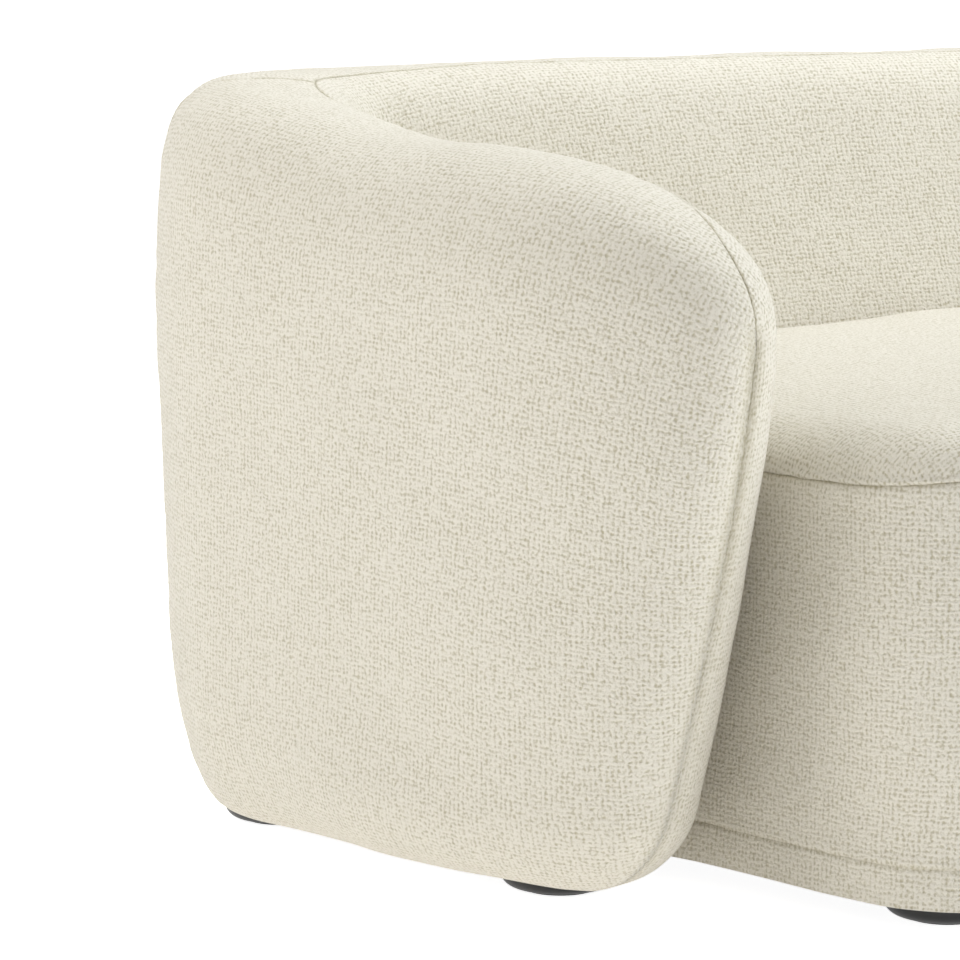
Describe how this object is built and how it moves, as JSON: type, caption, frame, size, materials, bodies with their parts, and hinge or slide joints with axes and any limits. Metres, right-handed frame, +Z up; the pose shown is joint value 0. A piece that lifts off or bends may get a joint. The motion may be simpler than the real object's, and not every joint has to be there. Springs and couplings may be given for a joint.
{
  "type": "sofa",
  "caption": "Upholstered sofa with one continuous rounded back and arms, a fixed crowned seat that bulges in front, and low round black wooden feet.",
  "frame": {"origin": "on the floor, midway between the two arms and midway between the seat front and the back", "axes": "+X to the sitter's left-hand arm seen from behind (right in a front view), +Y towards the back, +Z up"},
  "size_m": [2.297, 1.004, 0.765],
  "materials": {
    "boucle": "chunky woven boucle, matt",
    "lining_cloth": "thin non-woven cloth",
    "wadding": "loose white polyester wadding",
    "foam": "cut open-cell foam",
    "felt": "needled felt",
    "plywood": "raw birch plywood",
    "hardwood": "raw beech",
    "spring_steel": "dull spring steel",
    "zinc_steel": "zinc plated",
    "black_wood": "black-stained, satin lacquer",
    "glide": "matt"
  },
  "bodies": {
    "root": {"base_board": "plywood", "dust_cover": "lining_cloth", "shell_outer_lining": "plywood", "shell_inner_lining": "plywood", "shell_top_rail": "plywood", "shell_ribs": "plywood", "arm_front_posts": "hardwood", "nose_foam_left": "foam", "nose_foam_right": "foam", "arm_foam_left": "foam", "arm_foam_right": "foam", "corner_foam_left": "foam", "corner_foam_right": "foam", "back_foam": "foam", "arm_outer_cover_left": "boucle", "arm_outer_cover_right": "boucle", "back_outer_cover": "boucle", "inner_cover": "boucle", "seat_wall": "plywood", "seat_deck_frame": "plywood", "seat_cross_beams": "hardwood", "seat_corner_blocks": "hardwood", "zigzag_springs": "spring_steel", "spring_clips": "spring_steel", "spring_tie_strips": "spring_steel", "deck_felt": "felt", "seat_foam": "foam", "crown_wadding": "wadding", "seat_top_cover": "boucle", "border_padding": "foam", "seat_border_cover": "boucle", "hem_band": "boucle", "foot_arm_left": "black_wood", "foot_arm_right": "black_wood", "foot_seat_left": "black_wood", "foot_seat_right": "black_wood", "foot_corner_left": "black_wood", "foot_corner_right": "black_wood", "foot_back_middle": "black_wood", "foot_deck_middle": "black_wood", "foot_glides": "glide", "foot_bolts": "zinc_steel", "foot_tee_nuts": "zinc_steel", "frame_screws": "zinc_steel"}
  },
  "joints": []
}
